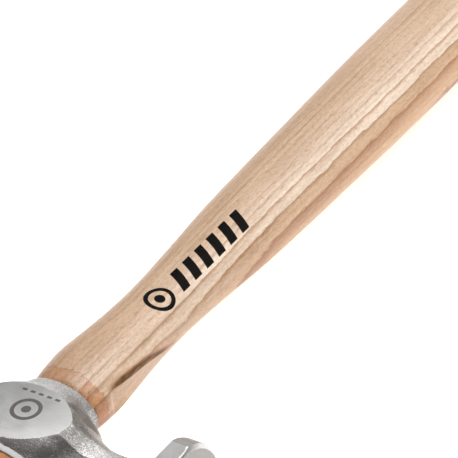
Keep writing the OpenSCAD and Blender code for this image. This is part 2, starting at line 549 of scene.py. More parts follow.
@dataclass(frozen=True)
class GroundSteel:
    """Ground and brushed steel, with fine scratches that run one way.

    Args:
        name: Name of the material.
        brushing: Which way the scratches run.
        tone: Base colour of the clean metal.
        rough: Roughness of the clean metal.
        marks: Whether it is the cheek, with etched marks and painted shading: its tone is raised towards the
            eye block's top and lowered towards the handle.
        scratch_shade: How dark the metal is in its scratches, as a share of the tone.
        scratch_depth: Depth of the scratches, in mm.
        etched: Colour of the etched marks.
    """

    name: str
    brushing: Brushing
    tone: Colour = (0.78, 0.775, 0.765)
    rough: float = 0.3
    marks: bool = False
    scratch_shade: float = 0.86
    scratch_depth: float = 0.008
    etched: Colour = (0.14, 0.13, 0.125)

    def make(self, seat: Seat) -> bpy.types.Material:
        """Builds the material, with its marks placed from the eye's centre."""
        sheet = NodeSheet(self.name)
        scratch = sheet.drawn(sheet.millimetres, self.brushing.value, 3.0, 0.65, scale=1.6)
        haze = sheet.noise(sheet.millimetres, 0.22)
        low = tuple(self.scratch_shade * part for part in self.tone)
        colour = sheet.mix(sheet.grade(scratch, 0.3, 0.7), low, self.tone)
        rough = sheet.plus(sheet.times(haze, 0.1), self.rough)
        if self.marks:
            along = sheet.minus(sheet.split(sheet.millimetres)[1], seat.place.y / MM)
            # painted highlight and painted shade: the cheek's tone rises towards the eye block's top and
            # falls towards the handle.
            fall = ((0.0, (1.14, 1.14, 1.13)), (0.45, (1.0, 1.0, 1.0)), (1.0, (0.9, 0.9, 0.895)))
            colour = sheet.tint(1.0, colour, sheet.ramp(sheet.grade(along, -9.0, 9.0), fall))
            mask = CheekMarks().mask(sheet, seat)
            colour = sheet.mix(mask, colour, self.etched)
            rough = sheet.plus(rough, sheet.times(mask, 0.22))
        normal = sheet.bump(scratch, self.scratch_depth)
        sheet.set(Base_Color=colour, Metallic=1.0, Roughness=rough, Normal=normal)
        return sheet.material


@dataclass(frozen=True)
class CheekMarks:
    """Plain etched marks on the cheek: a ring, a dot and a row of short dashes, in mm.

    Args:
        centre: Centre of the ring from the eye's centre, along x and y.
        ring_radius: Radius of the ring's middle line.
        stroke: Width of the ring's line.
        dot_radius: Radius of the dot in the ring.
        row: How far the row of dashes lies from the ring's centre.
        row_half: Half the length of the row.
        dash_pitch: Distance from dash to dash.
        dash_half: Half the length and half the height of a dash.
        soft: Softness of every edge.
    """

    centre: tuple[float, float] = (1.6, 0.6)
    ring_radius: float = 3.7
    stroke: float = 1.15
    dot_radius: float = 1.35
    row: float = 6.6
    row_half: float = 6.45
    dash_pitch: float = 2.6
    dash_half: tuple[float, float] = (0.75, 0.42)
    soft: float = 0.05

    def mask(self, sheet: NodeSheet, seat: Seat) -> Socket:
        """1 where the steel is etched and 0 elsewhere."""
        x, y, z = sheet.split(sheet.millimetres)
        u = sheet.minus(x, seat.place.x / MM + self.centre[0])
        v = sheet.minus(y, seat.place.y / MM + self.centre[1])
        reach = sheet.vector("LENGTH", sheet.bundle(u, v, 0.0))
        ring = sheet.within(sheet.gap(reach, self.ring_radius), self.stroke / 2, self.soft)
        dot = sheet.within(reach, self.dot_radius, self.soft)
        along = sheet.within(sheet.math("PINGPONG", u, self.dash_pitch / 2), self.dash_half[0], self.soft)
        across = sheet.within(sheet.gap(v, self.row), self.dash_half[1], self.soft)
        dashes = sheet.times(along, across, sheet.within(sheet.gap(u), self.row_half, self.soft))
        upper = sheet.math("GREATER_THAN", z, seat.place.z / MM)
        return sheet.times(sheet.most(sheet.most(ring, dot), dashes), upper)


@dataclass(frozen=True)
class HandlePrint:
    """Plain black print on the handle: a ring with a dot and a row of slanted bars, in mm.

    Args:
        start: Where the print starts along the handle.
        end: Where it ends.
        side_start: How far its middle line lies to the side at the start.
        side_end: The same at the end.
        height: How high the handle's surface is at the start.
        climb: How much the surface rises for each mm along the handle.
        tilt: How the surface leans there, as shares of the side and the height.
        ring_place: Centre of the ring from the start.
        ring_radius: Radius of the ring's middle line.
        ring_half: Half the width of the ring's line.
        dot_radius: Radius of the dot in the ring.
        bar_place: Middle of the first gap between bars.
        bar_pitch: Distance from bar to bar.
        bar_half: Half the width of a bar.
        slant: How far the bars slant for each mm across.
        half_height: Half the height of the bars.
        row: Where the row starts, and how far before the end it stops.
        soft: Softness of every edge.
    """

    start: float = 51.5
    end: float = 97.0
    side_start: float = 3.3
    side_end: float = 4.8
    height: float = 7.15
    climb: float = 0.042
    tilt: tuple[float, float] = (0.93, 0.36)
    ring_place: float = 5.6
    ring_radius: float = 3.65
    ring_half: float = 0.62
    dot_radius: float = 1.5
    bar_place: float = 15.0
    bar_pitch: float = 5.4
    bar_half: float = 1.55
    slant: float = 0.45
    half_height: float = 3.3
    row: tuple[float, float] = (12.3, 0.5)
    soft: float = 0.06

    def mask(self, sheet: NodeSheet, seat: Seat) -> Socket:
        """1 where there is ink and 0 elsewhere."""
        x, y, z = sheet.split(sheet.millimetres)
        u = sheet.minus(y, seat.place.y / MM + self.start)
        lean = (self.side_end - self.side_start) / (self.end - self.start)
        off_x = sheet.minus(sheet.minus(x, seat.place.x / MM + self.side_start), sheet.times(u, lean))
        off_z = sheet.minus(sheet.minus(z, seat.place.z / MM + self.height), sheet.times(u, self.climb))
        v = sheet.minus(sheet.times(off_x, self.tilt[0]), sheet.times(off_z, self.tilt[1]))
        reach = sheet.vector("LENGTH", sheet.bundle(sheet.minus(u, self.ring_place), v, 0.0))
        ring = sheet.within(sheet.gap(reach, self.ring_radius), self.ring_half, self.soft)
        dot = sheet.within(reach, self.dot_radius, self.soft)
        slant = sheet.plus(u, sheet.times(v, self.slant))
        beat = sheet.math("PINGPONG", sheet.minus(slant, self.bar_place), self.bar_pitch / 2)
        bar = sheet.within(beat, self.bar_half, self.soft)
        tall = sheet.within(sheet.gap(v), self.half_height, self.soft)
        first = sheet.math("GREATER_THAN", slant, self.row[0])
        last = sheet.math("LESS_THAN", slant, self.end - self.start - self.row[1])
        bars = sheet.times(bar, tall, first, last)
        upper = sheet.math("GREATER_THAN", z, seat.place.z / MM)
        return sheet.times(sheet.most(sheet.most(ring, dot), bars), upper)


@dataclass(frozen=True)
class Figure:
    """A pattern in the wood: noise drawn out along the grain, which tints it.

    Args:
        stretch: Multiplier along each axis, in mm.
        detail: Layers of finer noise.
        rough: Strength of each finer layer.
        stops: Tints along the noise.
        share: How strongly it tints.
    """

    stretch: Stretch
    detail: float
    rough: float
    stops: tuple[tuple[float, Colour], ...]
    share: float

    def noise(self, sheet: NodeSheet, place: Socket) -> Socket:
        """The pattern as a number between 0 and 1."""
        return sheet.drawn(place, self.stretch, self.detail, self.rough)


FIBRE = Figure((3.2, 0.07, 3.2), 3.0, 0.6, ((0.3, (0.86, 0.84, 0.81)), (0.7, (1.0, 1.0, 1.0))), 0.75)
STREAK = Figure(
    (0.7, 0.02, 0.7), 2.0, 0.5,
    ((0.32, (0.82, 0.77, 0.71)), (0.48, (0.99, 0.985, 0.98)), (0.66, (1.07, 1.08, 1.1))), 0.8,
)
CLOUD = Figure((0.1, 0.02, 0.1), 2.0, 0.5, ((0.3, (0.94, 0.90, 0.85)), (0.7, (1.04, 1.04, 1.04))), 0.8)
MOTTLE = Figure(
    (1.9, 0.75, 1.9), 3.0, 0.7,
    ((0.3, (0.81, 0.72, 0.60)), (0.5, (1.0, 0.995, 0.985)), (0.7, (1.14, 1.17, 1.2))), 0.85,
)
RING_WAVES = (
    ((0.05, 0.011, 0.05), 2.0, 0.45, 2.6),
    ((0.12, 0.03, 0.12), 2.0, 0.5, 0.7),
    ((0.5, 0.16, 0.5), 3.0, 0.65, 1.25),
)
RING_TONES = (
    (0.0, (0.34, 0.155, 0.06)),
    (0.1, (0.46, 0.26, 0.135)),
    (0.3, (0.58, 0.39, 0.25)),
    (0.5, (0.62, 0.445, 0.31)),
    (0.9, (0.73, 0.56, 0.42)),
    (1.0, (0.50, 0.325, 0.21)),
)


@dataclass(frozen=True)
class AshWood:
    """Clear-lacquered ash: growth rings, a pale band that is partly painted highlight, open pores, a stained
    shoulder and painted shade along a crease.

    Args:
        name: Name of the material.
        pith: Where the tree's heart ran beside the handle, across it (x, z) in mm.
        ring: Distance between growth rings on the side towards the heart, in mm.
        wide_ring: The same on the side away from it.
        widening: Where the rings turn wide, from the handle's middle away from the heart.
        end_grain: Whether it is a cut end, without print and with a browner tone.
        gloss: Roughness of the smoothest fibres.
        plain: Colour of the wood where the rings hardly show.
        pale_band_and_highlight: Colour of the pale band, paler wood with a painted highlight laid on it.
        pore: Colour of the open pores.
        torn: Colour of torn specks by the collar.
        crack: Colour of the cracks in the shoulder.
        crease_shade_colour: Colour of the painted shade along the crease.
        ink: Colour of the print.
        relief: Depth of the grain, in mm.
    """

    name: str
    pith: tuple[float, float] = (-64.0, 30.0)
    ring: float = 2.1
    wide_ring: float = 2.7
    widening: float = 5.2
    end_grain: bool = False
    gloss: float = 0.32
    plain: Colour = (0.59, 0.415, 0.285)
    pale_band_and_highlight: Colour = (0.80, 0.67, 0.55)
    pore: Colour = (0.32, 0.16, 0.07)
    torn: Colour = (0.20, 0.09, 0.04)
    crack: Colour = (0.20, 0.08, 0.025)
    crease_shade_colour: Colour = (0.10, 0.04, 0.010)
    ink: Colour = (0.004, 0.0035, 0.003)
    relief: float = 0.085

    def make(self, seat: Seat) -> bpy.types.Material:
        """Builds the material.

        Args:
            seat: Where the eye's centre is, from which the grain and the print are placed.

        Returns:
            The material.
        """
        sheet = NodeSheet(self.name)
        place = sheet.vector("SUBTRACT", sheet.millimetres, tuple(part / MM for part in seat.place))
        y = sheet.split(place)[1]
        grown, season = self._growth(sheet, place)
        colour = self._rings(sheet, place, grown, season)
        colour = sheet.tint(sheet.grade(grown, 5.5, 8.5, 0.0, 0.9), colour, (0.84, 0.64, 0.43))
        colour = sheet.tint(sheet.grade(y, 30.0, 72.0, 0.75, 0.0), colour, (0.91, 0.855, 0.80))
        colour = sheet.tint(sheet.grade(grown, -13.0, -6.0, 0.8, 0.0), colour, (0.86, 0.78, 0.69))
        fibre = FIBRE.noise(sheet, place)
        mottle = MOTTLE.noise(sheet, place)
        patterns = (
            (FIBRE, fibre),
            (STREAK, STREAK.noise(sheet, place)),
            (CLOUD, CLOUD.noise(sheet, place)),
            (MOTTLE, mottle),
        )
        for figure, noise in patterns:
            colour = sheet.tint(figure.share, colour, sheet.ramp(noise, figure.stops))
        open_wood = sheet.grade(season, 0.22, 0.55, 1.0, 0.3)
        pores = sheet.times(sheet.grade(sheet.drawn(place, (3.4, 0.42, 3.4), 1.0), 0.6, 0.7), open_wood)
        colour = sheet.mix(sheet.times(pores, 0.5), colour, self.pore)
        colour = self._shoulder(sheet, colour, place)
        # painted shade: dark brown along the crease where the handle's flat starts, from the mesh's crease
        # values.
        colour, crease_dark = self._crease_shade(sheet, colour, place)
        if self.end_grain:
            colour = sheet.tint(sheet.grade(y, -4.0, 30.0, 1.0, 0.35), colour, (1.2, 0.76, 0.42))
            colour = sheet.tint(sheet.grade(y, 10.0, 30.0), colour, (0.80, 0.74, 0.66))
        else:
            inked = HandlePrint().mask(sheet, seat)
            colour = sheet.mix(inked, colour, self.ink)
            # Metallic keeps the ink and the painted crease shade from reflecting, so they stay dark.
            sheet.set(Metallic=sheet.most(inked, sheet.times(crease_dark, 0.9)))
        relief = sheet.minus(sheet.times(season, 0.22), sheet.times(pores, 0.8))
        relief = sheet.plus(relief, sheet.times(fibre, 0.5))
        relief = sheet.plus(relief, sheet.times(mottle, 0.7))
        rough = sheet.plus(sheet.times(fibre, 0.12), self.gloss)
        sheet.set(Base_Color=colour, Roughness=rough, Normal=sheet.bump(relief, self.relief))
        sheet.shader.inputs["IOR"].default_value = 1.45 if self.end_grain else 1.62
        return sheet.material

    def _growth(self, sheet: NodeSheet, place: Socket) -> tuple[Socket, Socket]:
        """Growth of the tree at each place.

        Args:
            sheet: The material's node tree.
            place: Coordinates about the eye's centre, in mm.

        Returns:
            How far beyond the widening of the rings it lies, and the part of the year from 0 to 1.
        """
        x, _, z = sheet.split(place)
        across = sheet.bundle(sheet.minus(x, self.pith[0]), 0.0, sheet.minus(z, self.pith[1]))
        radius = sheet.vector("LENGTH", across)
        for stretch, detail, rough, sway in RING_WAVES:
            radius = sheet.plus(radius, sheet.times(sheet.drawn(place, stretch, detail, rough), sway))
        grown = sheet.minus(radius, math.hypot(*self.pith) + self.widening)
        late = sheet.math("DIVIDE", sheet.most(grown, 0.0), self.wide_ring)
        early = sheet.math("DIVIDE", sheet.math("MINIMUM", grown, 0.0), self.ring)
        return grown, sheet.math("FRACT", sheet.plus(sheet.plus(late, early), 50.0))

    def _rings(self, sheet: NodeSheet, place: Socket, grown: Socket, season: Socket) -> Socket:
        """Colour of the growth rings, faint on the side towards the heart, with a pale band that is partly
        paler wood and partly painted highlight.
        """
        y = sheet.split(place)[1]
        bold = sheet.drawn(place, (0.22, 0.006, 0.22), 1.0)
        faint = sheet.plus(sheet.grade(grown, -0.4, 1.8, 0.7, 0.0), sheet.grade(bold, 0.35, 0.6, 0.2, 0.0))
        faint = sheet.math("ADD", faint, sheet.grade(y, 40.0, 75.0, 0.3, 0.0), clamp=True)
        colour = sheet.mix(faint, sheet.ramp(season, RING_TONES), self.plain)
        patchy = sheet.drawn(place, (0.3, 0.03, 0.3), 2.0, 0.6)
        # pale band: partly paler wood, partly a painted highlight standing in for the lacquer's broad sheen
        # along the handle.
        band = sheet.times(
            sheet.grade(grown, -2.6, 1.6),
            sheet.grade(grown, 4.6, 7.0, 1.0, 0.0),
            sheet.grade(patchy, 0.3, 0.6, 0.15, 0.65),
            sheet.grade(season, 0.08, 0.4),
        )
        return sheet.mix(band, colour, self.pale_band_and_highlight)

    def _shoulder(self, sheet: NodeSheet, colour: Socket, place: Socket) -> Socket:
        """Browner wood in the band next to the collar, with a ragged edge, torn specks and cracks."""
        x, y, _ = sheet.split(place)
        ragged = sheet.drawn(place, (0.5, 0.0, 0.5), 3.0, 0.6)
        edge = sheet.plus(y, sheet.times(ragged, 3.6))
        band = sheet.grade(edge, 22.1, 22.4, 1.0, 0.0)
        jagged = sheet.plus(x, sheet.times(sheet.noise(place, 0.9, 2.0, 0.6), 1.2))
        pale = sheet.times(sheet.grade(jagged, 2.6, 2.9), sheet.grade(jagged, 6.9, 7.1, 1.0, 0.0))
        depth = sheet.minus(sheet.grade(jagged, 6.7, 7.2, 0.62, 1.0), sheet.times(pale, 0.35))
        colour = sheet.tint(sheet.times(band, depth), colour, (0.92, 0.64, 0.42))
        speck = sheet.drawn(place, (1.5, 0.9, 1.5), 2.0, 0.65)
        rim = sheet.gap(edge, 22.25)
        seam = sheet.gap(jagged, 9.2)
        near = sheet.most(sheet.grade(rim, 0.1, 0.5, 1.0, 0.0), sheet.grade(seam, 0.15, 0.5, 1.0, 0.0))
        near = sheet.times(near, sheet.grade(edge, 22.4, 22.8, 1.0, 0.0))
        torn = sheet.times(sheet.grade(speck, 0.5, 0.62), near)
        colour = sheet.mix(sheet.times(torn, 0.7), colour, self.torn)
        rift = sheet.gap(sheet.drawn(place, (0.5, 0.42, 0.5), 4.0, 0.7), 0.5)
        crack = sheet.times(
            sheet.grade(rift, 0.006, 0.016, 1.0, 0.0),
            sheet.grade(edge, 22.2, 22.6, 1.0, 0.0),
            sheet.grade(speck, 0.4, 0.55, 0.1, 0.7),
        )
        rim_line = sheet.times(sheet.grade(rim, 0.06, 0.2, 0.3, 0.0), sheet.grade(speck, 0.35, 0.5))
        return sheet.mix(sheet.most(crack, rim_line), colour, self.crack)

    def _crease_shade(self, sheet: NodeSheet, colour: Socket, place: Socket) -> tuple[Socket, Socket]:
        """Painted shade along the crease where the handle's flat starts: dark brown in its core, with a
        warmer halo round it.

        Args:
            sheet: The material's node tree.
            colour: Colour of the wood below it.
            place: Coordinates about the eye's centre, in mm.

        Returns:
            The new colour, and how dark the painted shade is from 0 to 1.
        """
        crease_share = sheet.attribute("crease_shade")
        broken = sheet.drawn(place, (0.9, 0.25, 0.9), 2.0, 0.6)
        warm = sheet.tint(sheet.grade(crease_share, 0.0, 0.45, 0.0, 0.85), colour, (0.84, 0.62, 0.40))
        crease_dark = sheet.times(sheet.grade(crease_share, 0.16, 0.7), sheet.grade(broken, 0.25, 0.6, 0.7, 1.0))
        return sheet.mix(crease_dark, warm, self.crease_shade_colour), crease_dark


# ---------------------------------------------------------------------------------------
# The head
# ---------------------------------------------------------------------------------------


class Skin(Enum):
    """Surfaces of the head, in the order of its material slots."""

    BLASTED = 0
    CHEEK = 1
    POLL = 2
    FACE = 3
    CHAMFER = 4
    DARK_REFLECTION_BAND = 5
    TOP = 6


GROUND_SKINS = {
    Skin.CHEEK: GroundSteel("ground_cheek", Brushing.ACROSS_HANDLE, marks=True),
    Skin.POLL: GroundSteel("ground_poll", Brushing.ROUND_POLL, (0.56, 0.555, 0.545), 0.34),
    Skin.FACE: GroundSteel("striking_face_steel", Brushing.SPIRAL_FACE, (0.33, 0.315, 0.30), 0.4),
    # painted highlight: the chamfer's steel is paler than the poll's, standing in for the bright reflection
    # along it.
    Skin.CHAMFER: GroundSteel("poll_chamfer_painted_highlight", Brushing.ROUND_POLL, (0.62, 0.615, 0.605), 0.3),
    # painted reflection: the poll's turned band gets a much darker tone, standing in for the dark
    # surroundings it would reflect.
    Skin.DARK_REFLECTION_BAND: GroundSteel("poll_band_painted_dark_reflection", Brushing.ROUND_POLL, (0.27, 0.262, 0.255), 0.32),
    Skin.TOP: GroundSteel("ground_eye_top", Brushing.ACROSS_HANDLE, (0.52, 0.51, 0.50), 0.38),
}


@dataclass(frozen=True)
class Roundings:
    """Radii of the head's edges, in mm.

    Args:
        machined: Edges of the turned poll and its chamfer.
        poll_flat: Edges of the poll's two flats.
        cheek: Edge of the ground cheeks.
        top: Edge of the eye block's top.
        rim: Edge of the collar's end.
        eye: Edge of the eye.
        bar: Corners of the peen, and the two halves' meeting inside the eye block.
        crook: Hollow between the eye block and the two necks.
    """

    machined: float = 0.12
    poll_flat: float = 0.08
    cheek: float = 0.05
    top: float = 0.3
    rim: float = 0.4
    eye: float = 0.16
    bar: float = 0.5
    crook: float = 1.0


@dataclass
class ForgedHead:
    """The head: eye block, collar, octagonal waist, round poll and wedge-shaped peen.

    Places run along the head from the eye's centre, or along the handle for the block, in mm.

    Args:
        seat: Where the eye's centre is.
        cheek: Half the thickness over the two ground cheeks.
        cheek_dome: How the cheeks fall away from their middle, for each square mm.
        cheek_lift: How much more than half the thickness the middle of a cheek stands up.
        ground_reach: How far along the head the cheeks and the top are ground at the most.
        top: Top of the eye block, where the wedges are driven in.
        rim: End of the collar on the handle's side.
        face: Crown of the striking face.
        face_crown: How the striking face falls away from its middle, for each square mm.
        chamfer_start: Where the chamfer round the face starts.
        poll_radius: Radius of the round poll.
        poll_flat: Half the thickness of the poll over its two flats.
        face_radius: Radius of the striking face inside the chamfer.
        waist_end: Where the blasted waist gives way to the ground poll.
        turned_start: Where the poll's turned band starts.
        peen_tip: Tip of the peen.
        peen_edge: Radius of the peen's edge.
        peen_ground: Length of the ground part of the peen.
        cell: Size of the cells that the head is carved with.
        waist: Half-size of the slimmest part on the poll's side.
        neck: Half-size of the slimmest part on the peen's side.
        block_long: Half-length of the eye block and collar along the head.
        block_wide: Half-width of them through the cheeks.
        block_power: Squareness of their outline.
        eye_long: Half-length of the eye.
        eye_wide: Half-width of the eye.
        eye_power: Squareness of the eye.
        rounding: Radii of its edges.
        crease_angle: Angle in degrees beyond which an edge of the mesh is sharp.
    """

    seat: Seat
    cheek: float = 10.9
    cheek_dome: float = 0.0016
    cheek_lift: float = 0.18
    ground_reach: float = 26.0
    top: float = -12.5
    rim: float = 15.7
    face: float = 51.2
    face_crown: float = 0.0008
    chamfer_start: float = 50.2
    poll_radius: float = 14.7
    poll_flat: float = 14.15
    face_radius: float = 13.3
    waist_end: float = 37.5
    turned_start: float = 41.5
    peen_tip: float = -62.0
    peen_edge: float = 1.8
    peen_ground: float = 9.0
    cell: float = 0.42
    waist: float = 5.0
    neck: float = 6.5
    block_long: Profile = field(default=Profile((
        (-12.5, 14.5), (-7, 17.2), (0, 18.0), (4, 16.2), (7, 14.0), (9.7, 12.6), (12, 11.95), (14, 11.75),
        (15.7, 11.8),
    )))
    block_wide: Profile = field(default=Profile((
        (-12.5, 10.3), (-11, 10.9), (-5, 12.2), (0, 12.7), (4, 12.5), (7, 11.6), (9.7, 10.8), (12, 10.0),
        (14, 9.35), (15.7, 8.8),
    )))
    block_power: Profile = field(default=Profile((
        (-12.5, 2.2), (-6, 3.2), (0, 4.0), (4, 4.2), (7, 4.2), (9.7, 3.2), (12, 2.5), (15.7, 2.0),
    )))
    eye_long: Profile = field(default=Profile(((-12.5, 11.2), (-4, 9.5), (3, 9.0), (9, 9.3), (15.7, 10.0))))
    eye_wide: Profile = field(default=Profile(((-12.5, 7.6), (-4, 6.3), (3, 6.0), (9, 6.2), (15.7, 6.9))))
    eye_power: float = 2.2
    rounding: Roundings = Roundings()
    crease_angle: float = 35.0

    def poll_outline(self, near: Sequence[tuple[float, float]]) -> Profile:
        """Half-size of the waist and the poll.

        Args:
            near: First stations, in the eye block.

        Returns:
            The curve along the head, from the block to the striking face.
        """
        flare = (
            (21, 1.5), (24, 0.45), (27, 0.05), (31, 0.0), (34, 0.15), (36.8, 0.6), (39.3, 1.7),
            (41.5, 3.6), (43.4, 6.3), (45.2, 9.3),
        )
        poll = ((46.2, 0.8), (48.3, 1.4), (60, 1.6))
        return Profile(
            tuple(near)
            + tuple((place, self.waist + more) for place, more in flare)
            + tuple((place, self.poll_radius + more) for place, more in poll)
        )

    def waist_field(self, points: Points) -> np.ndarray:
        """The eight-sided waist and the round poll."""
        x, y, z = points.T
        side = self.poll_outline(((0, 12.4), (13.5, 12.3), (16, 10.9), (18.2, 8.7)))(x)
        plan = self.poll_outline(((0, 12.3), (10, 11.6), (13.0, 11.1), (15.2, 10.3), (18, 8.45)))(x)
        corner = self.poll_outline(((0, 14.6), (8, 13.0), (11.5, 11.5), (15, 9.4), (18, 7.9)))(x)
        heel = Profile(((0, 0.1), (13, 0.25), (17, 0.45), (22, 0.5), (29, 0.0)))(x)
        corner = corner + np.where(y < 0, heel, 0.0)
        soft = np.clip(0.7 + 0.25 * y, 0.22, 1.7)
        bar = self._bar(y, z, side, plan, corner, soft)
        reach = np.hypot(y, z)
        bar = smooth_max(bar, reach - self.poll_radius, self.rounding.machined)
        bar = smooth_max(bar, np.abs(z) - self.poll_flat, self.rounding.poll_flat)
        run = self.face - self.chamfer_start
        fall = self.poll_radius - self.face_radius
        lean = math.hypot(run, fall)
        chamfer = ((x - self.chamfer_start) * fall + (reach - self.poll_radius) * run) / lean
        crown = x - self.face + self.face_crown * reach**2
        bar = smooth_max(bar, chamfer, self.rounding.machined)
        bar = smooth_max(bar, crown, self.rounding.machined)
        return smooth_max(bar, -x, self.rounding.bar)

    def peen_field(self, points: Points) -> np.ndarray:
        """The shorter neck and the peen, whose rounded edge runs across the handle."""
        x, y, z = points.T
        out = -x
        edge = self.peen_edge
        shank_end, taper = 36, 24.2
        tip_start = -self.peen_tip - edge
        root = Profile((
            (0, 12.4), (13.5, 12.3), (16, 10.9), (18.5, 8.6), (21, self.neck + 0.6), (24, self.neck),
            (27, self.neck + 0.55), (30, self.neck + 1.2), (33, self.neck + 0.9), (36, self.neck + 0.1),
        ))(out)
        wedge = edge + (self.neck + 0.1 - edge) * np.clip((tip_start - out) / taper, -0.2, 1.0)
        side = np.where(out < shank_end, root, wedge)
        plan = Profile((
            (0, 12.7), (11, 12.1), (15.2, 10.75), (18, 8.4), (21, self.neck + 0.5), (24, self.neck + 0.1),
            (28, self.neck + 0.9), (34, 9.3), (42, 11.2), (50, 12.5), (57, 13.2), (62, 13.5),
        ))(out)
        corner = Profile((
            (0, 14.9), (9, 13.3), (12, 11.5), (15, 9.7), (18, 8.1), (21, self.neck + 0.6),
            (24, self.neck + 0.15), (28, self.neck + 1.0), (33, 9.6), (38, 11.6), (44, 13.4), (62, 16.5),
        ))(out)
        bar = self._bar(y, z, side, plan, corner, self.rounding.bar)
        tip = np.hypot(np.maximum(out - tip_start, 0.0), y) - edge
        bar = np.where(out > tip_start, np.maximum(tip, np.abs(z) - plan), bar)
        return smooth_max(bar, x, self.rounding.bar)

    @staticmethod
    def _bar(y: np.ndarray, z: np.ndarray, side: np.ndarray, plan: np.ndarray, corner: np.ndarray,
             radius: float | np.ndarray) -> np.ndarray:
        """An eight-sided bar along X.

        Args:
            y: Coordinates along the handle.
            z: Coordinates through the cheeks.
            side: Half-size along y.
            plan: Half-size along z.
            corner: Half-size across the corners.
            radius: Rounding of its edges, the same everywhere or one for each point.

        Returns:
            Distances, negative inside.
        """
        square = smooth_max(np.abs(y) - side, np.abs(z) - plan, radius)
        diagonal = (np.abs(y) + np.abs(z)) / math.sqrt(2) - corner
        return smooth_max(square, diagonal, radius)

    def block_field(self, points: Points) -> np.ndarray:
        """The oval block round the eye and the collar below it."""
        x, y, z = points.T
        body = radial_gap(x, z, self.block_long(y), self.block_wide(y), self.block_power(y))
        return smooth_max(body, y - self.rim, self.rounding.rim)

    def solid(self, points: Points) -> np.ndarray:
        """The whole head as one field, negative inside the steel."""
        x, y, z = points.T
        necks = np.minimum(self.waist_field(points), self.peen_field(points))
        inner = np.abs(x) < self.ground_reach
        shape = smooth_min(self.block_field(points), necks, self.rounding.crook)
        cheeks = np.abs(z) - self.cheek + self.cheek_dome * (x**2 + y**2) - self.cheek_lift
        shape = np.where(inner, smooth_max(shape, cheeks, self.rounding.cheek), shape)
        shape = np.where(inner, smooth_max(shape, self.top - y, self.rounding.top), shape)
        eye = radial_gap(x, z, self.eye_long(y), self.eye_wide(y), np.full_like(y, self.eye_power))
        return smooth_max(shape, -eye, self.rounding.eye)

    def build(self) -> bpy.types.Object:
        """Carves the head and gives each of its surfaces a material slot."""
        carver = Carver((-63.1, -15.5, -15.3), (52.2, 16.5, 15.3), self.cell)
        points, quads = carver.carve(self.solid)
        faces = split_quads(self.solid, points, quads)
        piece = new_piece("hammer_head", self.seat.lay(points), faces)
        piece.data.set_sharp_from_angle(angle=math.radians(self.crease_angle))
        # the "scale" values are painted shade for the blasted steel.
        add_values(piece, "scale", self.painted_shade_map(points))
        self.dress(piece, points, faces)
        return piece

    def painted_shade_map(self, points: Points) -> np.ndarray:
        """How much painted shade darkens the blasted steel at each place, in its hollows and on its shaded
        sides.

        Args:
            points: Points on the head, in mm about the eye's centre.

        Returns:
            One number for each point; 0 is bright and 1 or more is dark.
        """
        x, y, z = points.T
        side, up = np.abs(x), np.abs(z)
        necks = np.minimum(self.waist_field(points), self.peen_field(points))
        # painted shade: in the hollow round the block, along the necks, on the flanks, under the block and
        # along the waist.
        crook = np.exp(-(((self.block_field(points) - necks) / 1.1) ** 2))
        crook = crook * np.interp(y, [3, 7, 14, 16], [0, 1, 1, 0.5])
        neck = np.interp(side, [7.5, 10.5], [0, 0.75]) * np.interp(y, [8.5, 10.5], [0, 1])
        hollow = np.maximum(crook, neck) * np.interp(side, [5, 9, 14, 18], [0, 1, 1, 0])
        flank = np.interp(-y, [6, 10, 12, 13], [0, 1, 1, 0.3]) * np.interp(side, [9, 17], [0.38, 0.2])
        under = np.interp(-y, [6, 8], [0, 0.6]) * np.interp(side, [14, 20], [1, 0])
        under = under * np.interp(up, [7, 9, self.cheek - 1.2, self.cheek - 0.6], [0, 1, 1, 1.6])
        throat = np.interp(side, [12, 13.5, 18, 30, 38], [0, 1.0, 0.8, 0.55, 0])
        throat = throat * np.interp(up, [5, 8], [0, 1])
        # painted shade in the valley beside the collar's rim.
        start = 7 + 0.27 * np.clip(6 - up, 0, 6)
        rim_shade = np.interp(y - start, [-0.3, 0.2, 5.5], [0, 2.0, 0.2]) * np.interp(side, [8.5, 11], [0, 1])
        rim_shade = rim_shade * np.interp(up, [2, 4, 12.2, 13.2], [0, 1, 1, 0])
        return np.maximum(np.maximum(0.6 * hollow, flank + under + throat), rim_shade)

    def sort_faces(self, points: Points, faces: np.ndarray) -> np.ndarray:
        """Finds out which surface of the head each face belongs to.

        Args:
            points: Corner points, in mm about the eye's centre.
            faces: Three corner numbers for each triangle.

        Returns:
            The number of a material slot for each face.
        """
        corners = points[faces]
        normal = np.cross(corners[:, 1] - corners[:, 0], corners[:, 2] - corners[:, 0])
        normal /= np.maximum(np.linalg.norm(normal, axis=1, keepdims=True), TINY)
        x, y, z = corners.mean(axis=1).T
        across, along, up = np.abs(normal[:, 0]), normal[:, 1], np.abs(normal[:, 2])
        near_eye = np.abs(x) < 22
        skin = np.full(len(faces), Skin.BLASTED.value)
        skin[near_eye & (up > 0.985) & (np.abs(z) > self.cheek - 0.35)] = Skin.CHEEK.value
        skin[near_eye & (along < -0.97) & (y < self.top + 0.15)] = Skin.TOP.value
        skin[(x > self.waist_end) & (np.hypot(y, z) > 8)] = Skin.POLL.value
        skin[(x > self.turned_start) & (across < 0.25) & (up < 0.985)] = Skin.DARK_REFLECTION_BAND.value
        skin[(x > self.chamfer_start + 0.1) & (normal[:, 0] > 0.3)] = Skin.CHAMFER.value
        skin[(x > self.face - 0.35) & (normal[:, 0] > 0.97)] = Skin.FACE.value
        skin[(x < self.peen_tip + self.peen_ground) & (up < 0.8)] = Skin.POLL.value
        return skin

